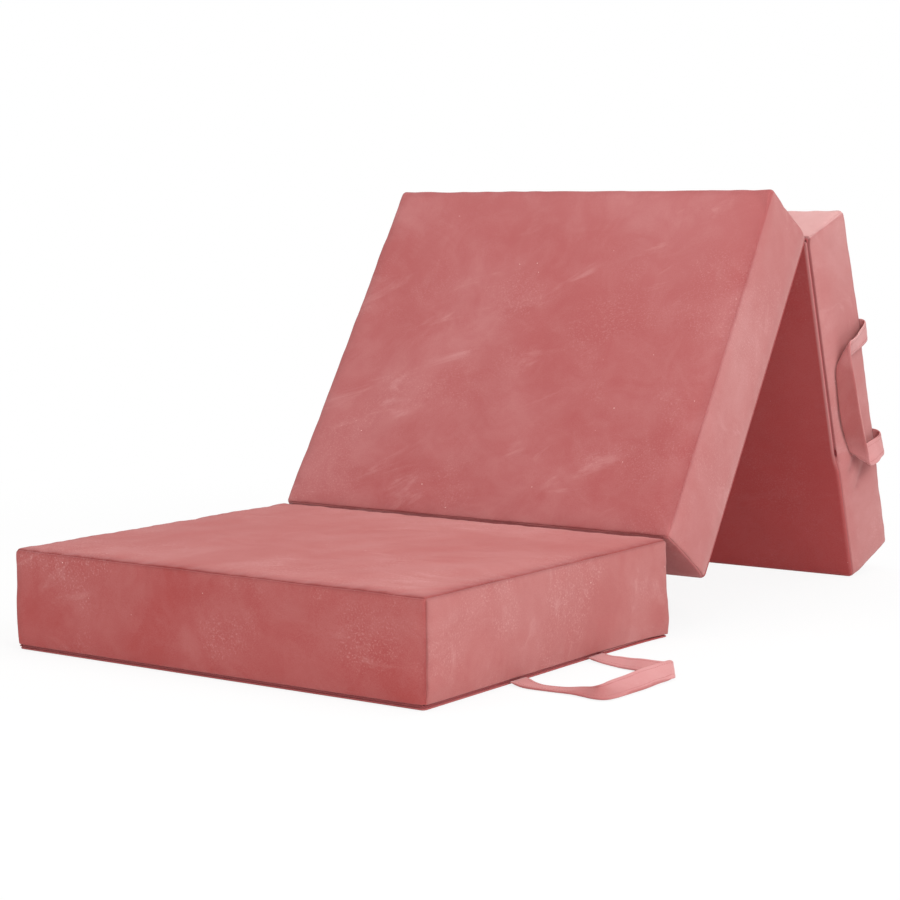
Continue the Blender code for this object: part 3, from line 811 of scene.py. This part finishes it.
def base_cloth(panel, material, inset, trims, seed):
    """The cover's underside: a thin rounded sheet with a slow sway, whose rim shows as a lip."""
    low = np.array([inset - HALF_WIDTH, FOLD_CLEARANCE + BASE_INSET + trims[0], 0])
    high = np.array([HALF_WIDTH - inset, PANEL_PITCH - FOLD_CLEARANCE - inset - trims[1], BASE_LIP])
    rim = BASE_LIP / 2
    points, _, faces = rounded_box(low, high, EDGE_RADIUS, rim, rim, 2 * PAD_STEP)
    inside = gaps_to(points, low, high)[:, :2].min(axis=1)
    sway = SWAY * np.abs(waves(points, SWAY_WAVE / 2, seed))
    points[:, 2] += sway * smooth_step(inside / (3 * PUCKER_REACH))
    if panel.body == "rear":
        points[:, 2] -= LIP_CURL * zip_side(points + [inset, 0, 0])
    if panel.body == "seat":
        points[:, 0] += np.sign(points[:, 0]) * LET_OUT * let_out(points, low, high)
    piece = weld(mesh_object(panel.body + "_base_cloth", panel.place(points), faces))
    local = panel.local(places_of(piece))
    # A painted highlight along the rim, fading beyond the rear zip's end
    share = 1 - smooth_step(gaps_to(local, low, high)[:, :2].min(axis=1) / (2 * rim) - 0.5)
    share *= 1 - RIM_FADE * smooth_step((local[:, 1] - ZIP_ENDS["rear"]) / ZIP_CORNER)
    paint(piece, rim=share)
    draw_in(piece, panel)
    finish(piece, material, "velvet_base", panel.body, panel.body + "_base_sheet")


cushion(SEAT, SEAT_VELVET, 11)
cushion(BACK, BACK_VELVET, 23)
cushion(REAR, REAR_VELVET, 37)
base_cloth(SEAT, BASE_VELVET, BASE_INSET, (0, 0), 51)
base_cloth(BACK, BASE_VELVET, BASE_INSET, (0, WEB_TRIM), 52)
base_cloth(REAR, REAR_BASE_VELVET, REAR_BASE_INSET, (WEB_TRIM, 0), 53)


# Zips: the band set in along the base edge

BAND_STEP = 4 * MM
TAPE_CLOTH = 1.4 * MM
TAPE_TUCK = 0.2 * MM
TOOTH_PITCH = 2.1 * MM
TOOTH_SIZE = (0.8 * MM, 1.2 * MM, 1.4 * MM)
BAND_MIDDLE = (BASE_LIP + BAND_FOOT) / 2
SLIDER_LENGTH = 10 * MM
SLIDER_HALF_WIDTH = 2.5 * MM
# How far each slider's middle stands out from the zip tape, and half its depth: the seat's is flatter,
# to pass between the teeth and the strap
SLIDERS = {"seat": (1.4 * MM, 0.6 * MM), "back": (3.4 * MM, 1.1 * MM), "rear": (3.4 * MM, 1.1 * MM)}
PULL_STAND = 5.2 * MM
PULL_LENGTH = 13 * MM
PULL_HALF_WIDTH = 1.7 * MM
PULL_HALF_THICKNESS = 0.4 * MM


def outline(inset):
    """A panel's plan outline, set in: from its low end's left, anticlockwise, with rounded corners."""
    half, low, high = HALF_WIDTH - inset, FOLD_CLEARANCE + inset, PANEL_PITCH - FOLD_CLEARANCE - inset
    radius = EDGE_RADIUS - inset + 1 * MM
    turn = np.radians(np.linspace(-90, 0, 9))
    corner = np.stack([np.cos(turn), np.sin(turn)], 1) * radius
    spin = np.array([[0, 1], [-1, 0]])
    centres = ((half - radius, low + radius), (half - radius, high - radius))
    centres += ((radius - half, high - radius), (radius - half, low + radius))
    arcs = []
    for centre in centres:
        arcs.append(np.array(centre) + corner)
        corner = corner @ spin
    start = np.array([[radius - half, low]])
    return np.concatenate([start, *arcs])


def stretch_of(path, start, end, step):
    """The stretch of a path between two lengths along it, as evenly spaced points and their ways."""
    travel = travel_along(path)
    stops_along = np.linspace(start, end, max(3, int((end - start) / step)))
    points = np.stack([np.interp(stops_along, travel, path[:, axis]) for axis in (0, 1)], 1)
    return points, unit(np.gradient(points, axis=0))


def band(panel, name, path, start, end, flips, profile, material, slot, node_name):
    """A strip along the base edge: a closed profile of (outward, upward) points, carried along it."""
    points, ways = stretch_of(path, start, end, BAND_STEP)
    outward = np.stack([ways[:, 1], -ways[:, 0]], 1)
    profile = np.asarray(profile)
    section = np.zeros((len(points), len(profile), 3))
    section[..., :2] = points[:, None] + outward[:, None] * profile[None, :, :1]
    section[..., 2] = profile[None, :, 1]
    section = flipped(section, flips)
    piece = draw_in(tube(name, panel.place(section)), panel)
    finish(piece, material, slot, panel.body, node_name)


def flipped(points, flips):
    """The same points counted from the panel's other side or other end, where a flip is -1."""
    points = points.copy()
    points[..., 0] *= flips[0]
    if flips[1] < 0:
        points[..., 1] = PANEL_PITCH - points[..., 1]
    return points


def rounded_profile(depth, low, high, bulge):
    """A thin upright strip's section: depth thick, from low to high, its face bulging outwards."""
    across, upright = circle(20, 0.45, 0.45)
    outward = depth / 2 * across - depth / 2 + bulge * (1 - upright**2) * (across > 0)
    return np.stack([outward, (low + high) / 2 + (high - low) / 2 * upright], 1)


def zip_teeth(panel, name, path, start, end, flips):
    """Two staggered rows of small teeth along the tape's middle, each a bevelled block."""
    points, ways = stretch_of(path, start, end, TOOTH_PITCH)
    outward = np.stack([ways[:, 1], -ways[:, 0]], 1)
    corners = np.array([[x, y, z] for x in (-1, 1) for y in (-1, 1) for z in (-1, 1)]) / 2 * TOOTH_SIZE
    sides = np.where(np.arange(len(points)) % 2 == 0, 1, -1) * TOOTH_SIZE[2] / 3
    blocks = np.zeros((len(points), 8, 3))
    blocks[..., :2] = points[:, None] + outward[:, None] * (corners[None, :, :1] + TOOTH_SIZE[0] / 3)
    blocks[..., :2] += ways[:, None] * corners[None, :, 1:2]
    blocks[..., 2] = BAND_MIDDLE + sides[:, None] + corners[None, :, 2]
    faces = np.array([[0, 1, 3, 2], [4, 6, 7, 5], [0, 4, 5, 1], [2, 3, 7, 6], [0, 2, 6, 4], [1, 5, 7, 3]])
    faces = (faces[None] + 8 * np.arange(len(points))[:, None, None]).reshape(-1, 4)
    piece = mesh_object(name, panel.place(flipped(blocks, flips)).reshape(-1, 3), faces, smooth=False)
    draw_in(weld(piece, 0.001 * MM), panel)
    piece.data.shade_flat()
    finish(piece, ZIP_TEETH, "zip_metal", panel.body)


def zip_slider(panel, zip_end, flips):
    """The slider: round sections that swell towards its shoulders and narrow to its nose."""
    along = np.linspace(0, 1, 15)
    out, up = circle(20)
    width = SLIDER_HALF_WIDTH * np.interp(along, (0, 0.08, 0.5, 0.92, 1), (0.62, 0.8, 0.9, 1.0, 0.8))
    stand, depth = SLIDERS[panel.body]
    depth = depth * np.interp(along, (0, 0.1, 0.3, 0.6, 0.9, 1), (0.5, 0.85, 1.15, 1.15, 0.85, 0.5))
    section = np.zeros((len(along), len(up), 3))
    section[..., 0] = HALF_WIDTH - ZIP_INSET + stand + depth[:, None] * out
    section[..., 1] = (zip_end - SLIDER_LENGTH + along * SLIDER_LENGTH)[:, None]
    section[..., 2] = BAND_MIDDLE + width[:, None] * up
    piece = tube(panel.body + "_slider_body", panel.place(flipped(section, flips)))
    subdivide(draw_in(piece, panel))
    finish(piece, ZIP_METAL, "zip_metal", panel.body + "_slider", panel.body + "_zip_slider")


def zip_pull(panel, zip_end, flips):
    """The pull: a flat tab, narrow at its hinge and wider at its end, with a long hole through it."""
    count = 32
    ahead, up = circle(count, 1.0, 0.5)
    along = 0.5 - 0.5 * ahead
    half = PULL_HALF_WIDTH * (0.65 + 0.35 * along)
    start = zip_end - SLIDER_LENGTH
    outer = np.stack([start + along * PULL_LENGTH, half * up], 1)
    inner = np.stack([start + PULL_LENGTH * (0.18 + 0.5 * along), 0.5 * outer[:, 1]], 1)
    rings = []
    for edge, depth, ease in ((outer, -1, 0.9), (outer, 0, 1.0), (outer, 1, 0.9), (inner, 1, 1.0),
                              (inner, -1, 1.0)):
        centre = edge.mean(axis=0)
        eased = centre + (edge - centre) * ease
        face = HALF_WIDTH - ZIP_INSET + PULL_STAND + depth * PULL_HALF_THICKNESS
        rings.append(np.stack([np.full(count, face), eased[:, 0], eased[:, 1]], 1))
    section = np.stack([*rings, rings[0]])
    section[..., 2] += BAND_MIDDLE
    points = panel.place(flipped(section, flips)).reshape(-1, 3)
    faces = grid_faces(len(section), count, closed=True)
    piece = draw_in(weld(mesh_object(panel.body + "_pull_tab", points, faces)), panel)
    finish(piece, ZIP_METAL, "zip_metal", panel.body + "_pull", panel.body + "_zip_pull")


def zip_band(panel, flips, round_end):
    """Everything in the set-in band: the zip's tape, teeth, slider and pull, and the plain seam beyond."""
    path = outline(ZIP_INSET)
    travel = travel_along(path)
    zip_end = ZIP_ENDS[panel.body]
    corner = int(np.flatnonzero(path[:, 0] > HALF_WIDTH - ZIP_INSET - 0.01 * MM)[0])
    end = travel[corner] + zip_end - path[corner][1]
    start = 0 if round_end else travel[1] - ZIP_CORNER
    prefix = panel.body + "_"
    low, high = BASE_LIP - TAPE_TUCK, BAND_FOOT + 2 * TAPE_TUCK
    if panel.body == "rear":
        high += GROOVE_LIFT
    tape = rounded_profile(TAPE_CLOTH, low, high, 0)
    seam = rounded_profile(TAPE_CLOTH, low, high, ZIP_INSET * 0.75)
    band(panel, prefix + "zip_tape_cloth", path, start, end, flips, tape, ZIP_TAPE, "zip_tape",
         prefix + "zip_tape")
    band(panel, prefix + "base_piping", path, end, travel[-1], flips, seam, PIPING_VELVET, "velvet_base",
         prefix + "base_seam")
    zip_teeth(panel, prefix + "zip_teeth", path, start + BAND_STEP, end - SLIDER_LENGTH / 2, flips)
    zip_slider(panel, zip_end, flips)
    zip_pull(panel, zip_end, flips)


zip_band(SEAT, (1, 1), True)
zip_band(BACK, (-1, -1), False)
zip_band(REAR, (1, 1), False)


# Fold webs

WEB_CLOTH = 0.9 * MM
WEB_TURNS = 17
WEB_STATIONS = 90
WEB_DRIFT = 0.25 * MM
WEB_WAVE = 60 * MM


def fold_web(name, near_frame, far_frame, axis_point, table, nodes, seed):
    """A strip of cloth across a fold. table has (y, z) places from the fold line, in the first panel's
    frame up to the fold and in the second's after it; the strip is as wide as the panels' flat part."""
    half = HALF_WIDTH - EDGE_RADIUS
    line = []
    for frame_axes, rows in ((near_frame, table[0]), (far_frame, table[1])):
        line += [axis_point + y * frame_axes[1] + z * frame_axes[2] for y, z in rows]
    line = spline(line, WEB_TURNS)
    across = np.cross([1.0, 0, 0], unit(np.gradient(line, axis=0))) * WEB_CLOTH / 2
    loop = np.concatenate([line + across, (line - across)[::-1]])
    x = np.linspace(-half, half, WEB_STATIONS)
    section = np.repeat(loop[None], len(x), 0)
    section[..., 0] = x[:, None]
    drift = WEB_DRIFT * waves(np.stack([x, x * 0, x * 0], 1), WEB_WAVE, seed)
    section[..., 2] += drift[:, None]
    piece = tube(name, section)
    finish(piece, WEB_VELVET, "velvet_base", None, *nodes)
    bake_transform(piece)


def joint_place(name):
    """A point on a joint's axis, in the world."""
    return np.array(next(joint["pos_m"] for joint in frame["joints"] if joint["name"] == name))


FRONT_ROWS = ([(-4.2 * MM, -4.2 * MM), (-2.0 * MM, -2.6 * MM), (-0.3 * MM, -1.2 * MM)],
              [(2.0 * MM, -2.6 * MM), (4.2 * MM, -4.2 * MM)])
fold_web("front_fold_web", SEAT.axes, BACK.axes, joint_place("back_fold"), FRONT_ROWS,
         ("front_web_seat_flap", "front_web_back_flap"), 61)
REAR_ROWS = ([(-5.0 * MM, 0.8 * MM), (-2.5 * MM, 0.8 * MM), (-0.5 * MM, 0.6 * MM)],
             [(0.5 * MM, 0.6 * MM), (2.5 * MM, 0.8 * MM), (5.0 * MM, 0.8 * MM)])
fold_web("rear_fold_web", BACK.axes, REAR.axes, joint_place("rear_fold"), REAR_ROWS,
         ("rear_web_back_flap", "rear_web_rear_flap"), 67)


# Strap handles

# Each row is one place on the strap: its grounded edge and its free edge, each as how far it stands off
# the panel's side, how far along the panel it lies and how high over the panel's base, in millimetres.
# The seat's strap goes from its near sewn end out over the floor and back to its far one.
SEAT_STRAP_ROWS = (
    (0, 200, 5.2, 0, 241, 5.2), (10, 197, 3.6, 10, 236, 3.9), (24, 192.5, 2.8, 26, 226, 3.0),
    (44, 190.5, 2.6, 48, 218, 2.6), (70, 193, 2.6, 74, 222, 3.0), (95, 193, 2.6, 95, 225, 5),
    (120, 189, 2.6, 114, 221, 8.5), (142, 184.5, 2.6, 127, 217, 12.5), (157, 189, 2.6, 131, 219, 14),
    (163, 207, 2.6, 131, 230, 14.5), (165, 240, 2.6, 129, 245, 14.5), (166, 275, 2.6, 128, 277, 14.5),
    (166, 315, 2.6, 127.5, 317, 14.7), (166, 340, 3.0, 130, 353, 16.5), (166, 354, 3.6, 134, 397, 17.6),
    (166, 361, 3.0, 136, 408, 15.0), (158, 365, 2.6, 129, 412, 12.5), (126, 370, 2.6, 111, 413, 11.5),
    (88, 377, 2.6, 82, 414, 11.0), (48, 387, 2.6, 44, 426, 7.5), (20, 397, 3.4, 20, 436, 5.0),
    (0, 403, 5.2, 0, 446, 5.2),
)
# The rear strap leaves the outer seam, loops out and runs forward, folds, stands out from the side
# for a hand's width, folds back and loops into the seam again.
REAR_STRAP_ROWS = (
    (0, 237, 148.2, 0, 201, 148.2), (5, 237.5, 150.5, 5, 202, 150.5), (9, 239, 150.5, 9.5, 204.5, 150.5),
    (12, 241, 145, 13, 206, 145), (13, 242, 134, 15.5, 207, 134), (12, 243, 117, 18, 208, 114),
    (9, 244, 88, 23, 208, 90), (4.8, 245, 58, 25, 207.5, 68), (3.4, 246, 37, 26.5, 208, 53),
    (3, 262, 29, 29, 232, 43), (3, 285, 27, 32, 268, 39.5), (3, 312, 25.5, 34, 305, 39.5),
    (3, 345, 25.5, 35, 343, 42), (3, 375, 32, 35, 378, 46), (3, 395, 38, 34.5, 410, 51.5),
    (3.6, 409, 44, 33, 437, 58), (6.5, 412, 58, 31, 446, 74), (12, 413, 82, 29, 451, 98),
    (15, 415, 108, 24, 453, 122), (17, 417, 132, 21.5, 455, 137), (15, 416.5, 147, 16.5, 455, 149),
    (9, 414, 151.5, 10, 451, 152.5), (4, 411.5, 150.5, 4, 448, 151), (0, 410, 148.2, 0, 446, 148.2),
)


def ribbon_profile():
    """A folded strap's section as (across, through), each from -1 to 1: a flat rounded band with a
    shallow channel under each row of stitches."""
    across, through = circle(32, 0.3, 0.6)
    reach = np.abs(across) - (1 - 2 * STITCH_INSET / STRAP_WIDTH)
    return across, through * (1 - CHANNEL_SHARE * np.exp(-((reach * STRAP_WIDTH / CHANNEL_WIDTH) ** 2)))


def strap(name, panel, rows, base, body, node_name, turned):
    """A strap between two edges: the ribbon section is laid on the straight lines from one to the other.
    The last argument gives painted shade where the strap twists away from the light, at even shares of the
    strap's length."""
    rows = np.asarray(rows, float) * MM
    edges = rows.reshape(-1, 2, 3) + base
    table = np.concatenate([edges.mean(axis=1), (edges[:, 1] - edges[:, 0]) / 2], axis=1)
    line = even(spline(table, 6 * STRAP_STATIONS), STRAP_STATIONS)
    middle, half = panel.place(line[:, :3]), panel.way(line[:, 3:])
    ways = np.gradient(middle, axis=0)
    through = unit(np.cross(ways, half))
    travel = travel_along(middle)
    ends = np.minimum(travel, travel[-1] - travel)
    slim = 0.35 + 0.65 * smooth_step(ends / STRAP_NECK)
    rumple = RUMPLE * waves(middle, RUMPLE_WAVE, RUMPLE_SEED) * smooth_step(ends / RUMPLE_START)
    across, thick = ribbon_profile()
    section = middle[:, None] + half[:, None] * across[None, :, None]
    offset = thick[None] * (STRAP_CLOTH / 2 * slim)[:, None]
    offset = offset + rumple[:, None] * (1 - 0.6 * across[None] ** 2)
    section = section + through[:, None] * offset[..., None]
    piece = tube(name, section)
    points = places_of(piece)
    nearest = np.linalg.norm(points[:, None] - middle[None, ::2], axis=2).argmin(axis=1) * 2
    side = ((points - middle[nearest]) * half[nearest]).sum(axis=1) / (half[nearest] ** 2).sum(axis=1)
    # Painted shade where the strap twists away from the light and along its lower rim, and a painted
    # highlight along its free edge
    share = np.interp(travel[nearest] / travel[-1], np.linspace(0, 1, len(turned)), turned)
    edge = 0.7 * smooth_step((side - 0.86) / 0.1)
    rim = 0.7 * smooth_step((-side - 0.74) / 0.2)
    paint(piece, turned=np.maximum(share, rim), strap_edge=edge)
    finish(piece, STRAP_VELVET, "strap_velvet", body, node_name)
    stitches(name + "_stitching", travel, (middle, ways, half, through, rumple[:, None] * through), body)


def stitches(name, travel, line, body):
    """Top stitching: a short low capsule at every pitch, on both faces, in a row near each edge."""
    places = np.arange(3 * STITCH_PITCH, travel[-1] - 3 * STITCH_PITCH, STITCH_PITCH)
    middle, along, half, out, drift = [
        np.stack([np.interp(places, travel, values[:, axis]) for axis in range(3)], 1) for values in line]
    along, out, wide = unit(along), unit(out), unit(half)
    sideways, outwards = circle(6)
    steps = np.array([-0.5, -0.32, 0.32, 0.5])
    girth = np.array([0.25, 1.0, 1.0, 0.25])
    caps = [[0, 5, 4, 3], [0, 3, 2, 1], [18, 19, 20, 21], [18, 21, 22, 23]]
    faces = np.concatenate([grid_faces(4, 6, closed=True), caps])
    ring = girth[:, None, None] * STITCH_RADIUS
    points = []
    for side in (-1, 1):
        for edge in (-1, 1):
            centre = middle + half * edge * (1 - 2 * STITCH_INSET / STRAP_WIDTH)
            centre = centre + out * side * STRAP_CLOTH * 0.40 + drift * 0.7
            capsule = centre[:, None, None] + along[:, None, None] * (steps * STITCH_LENGTH)[:, None, None]
            capsule = capsule + wide[:, None, None] * ring * sideways[:, None]
            capsule = capsule + out[:, None, None] * ring * outwards[:, None]
            points.append(capsule.reshape(-1, 3))
    points = np.concatenate(points)
    faces = (faces[None] + 24 * np.arange(len(points) // 24)[:, None, None]).reshape(-1, 4)
    piece = weld(mesh_object(name, points, faces), 0.001 * MM)
    finish(piece, THREAD, "strap_velvet", body)


SEWN = np.array([HALF_WIDTH + STRAP_SEAM_GAP, 0, 0])
# The last tables give each strap's painted shade along its length
strap("seat_strap", SEAT, SEAT_STRAP_ROWS, SEWN, "seat_strap", "seat_strap_handle",
      (0, 0.1, 0.3, 0.6, 0.75, 0.5, 0.1, 0, 0, 0, 0.1, 0.2, 0.3, 0.1, 0, 0))
strap("rear_strap", REAR, REAR_STRAP_ROWS, SEWN, "rear_strap", "rear_strap_handle",
      (0.4, 0.2, 0, 0, 0.3, 0.7, 0.8, 0.8, 0.8, 0.8, 0.6, 0.2, 0, 0, 0.2, 0.4))


# Camera, lights and floor

# The camera as solved from the photo's corners: its place from the front fold, and its tilt and turn
LENS, SENSOR = 88.95, 36.0
CAMERA_PLACE = (1.99947, -2.93181, 0.63700)
CAMERA_TILT, CAMERA_TURN = 6.01, 34.69


def camera():
    """The solved camera, tilted down and turned, at its place from the front fold."""
    data = bpy.data.cameras.new("photo_camera")
    data.lens, data.sensor_width = LENS, SENSOR
    made = bpy.data.objects.new("photo_camera", data)
    made.location = CAMERA_PLACE
    made.location.y += SEAT.origin[1] + PANEL_PITCH
    made.rotation_euler = (math.radians(90 - CAMERA_TILT), 0, math.radians(CAMERA_TURN))
    bpy.context.scene.collection.objects.link(made)
    bpy.context.scene.camera = made


def area_light(name, place, aim, size, power):
    """A round soft light at a place, turned to its aim, with its size in metres and power in watts."""
    data = bpy.data.lights.new(name, "AREA")
    data.shape, data.size, data.energy = "DISK", size, power
    made = bpy.data.objects.new(name, data)
    made.location = place
    made.rotation_euler = (Vector(aim) - Vector(place)).to_track_quat("-Z", "Y").to_euler()
    bpy.context.scene.collection.objects.link(made)


def background(tree, shader, strength):
    """White where the camera, a reflection or glass sees it, and the given shader for all other light."""
    path = node(tree, "LightPath").outputs
    seen = calculate(tree, "MAXIMUM", path["Is Camera Ray"], path["Is Glossy Ray"])
    seen = calculate(tree, "MAXIMUM", seen, path["Is Transmission Ray"])
    white = node(tree, "Emission", (("Color", (1, 1, 1, 1)), ("Strength", 1.0))).outputs[0]
    return node(tree, "MixShader", ((0, times(tree, seen, strength)), (1, shader), (2, white))).outputs[0]


def floor():
    """A flat floor whose white hides its far edge, and lets the object's shadow show near it."""
    size = 60.0
    corners = np.array([[-1, -1, 0], [1, -1, 0], [1, 1, 0], [-1, 1, 0]]) * size
    piece = mesh_object("floor", corners, [[0, 1, 2, 3]], smooth=False)
    made = bpy.data.materials.new("floor_white")
    made.use_nodes = True
    tree = made.node_tree
    tree.nodes.remove(tree.nodes["Principled BSDF"])
    plain = node(tree, "BsdfDiffuse", (("Color", (0.9, 0.9, 0.9, 1)),)).outputs[0]
    place = node(tree, "TexCoord").outputs["Object"]
    away = node(tree, "VectorMath", ((0, place),), operation="LENGTH").outputs[1]
    share = spread(tree, away, 0.8, 2.2, 0.88, 1.0)
    tree.links.new(background(tree, plain, share), tree.nodes["Material Output"].inputs["Surface"])
    piece.data.materials.append(made)


def world():
    """An even pale sky that is plain white where the camera or glass sees it."""
    made = bpy.data.worlds.new("studio")
    bpy.context.scene.world = made
    made.use_nodes = True
    tree = made.node_tree
    tree.nodes.clear()
    sky = node(tree, "Background", (("Color", (1, 0.985, 0.975, 1)), ("Strength", 0.55))).outputs[0]
    result = node(tree, "OutputWorld")
    path = node(tree, "LightPath").outputs
    seen = calculate(tree, "MAXIMUM", path["Is Camera Ray"], path["Is Transmission Ray"])
    white = node(tree, "Background", (("Color", (1, 1, 1, 1)), ("Strength", 1.0))).outputs[0]
    mixed = node(tree, "MixShader", ((0, seen), (1, sky), (2, white))).outputs[0]
    tree.links.new(mixed, result.inputs["Surface"])


camera()
world()
floor()
area_light("key", (3.6, -1.0, 2.8), (0, 0.4, 0.2), 3.2, 112)
area_light("fill", (-2.6, -3.6, 2.0), (0, 0, 0.3), 2.6, 30)
area_light("over", (0.2, 0.6, 3.6), (0, 0.3, 0), 3.0, 48)

scene = bpy.context.scene
scene.view_settings.view_transform = "Standard"

bpy.context.view_layer.update()
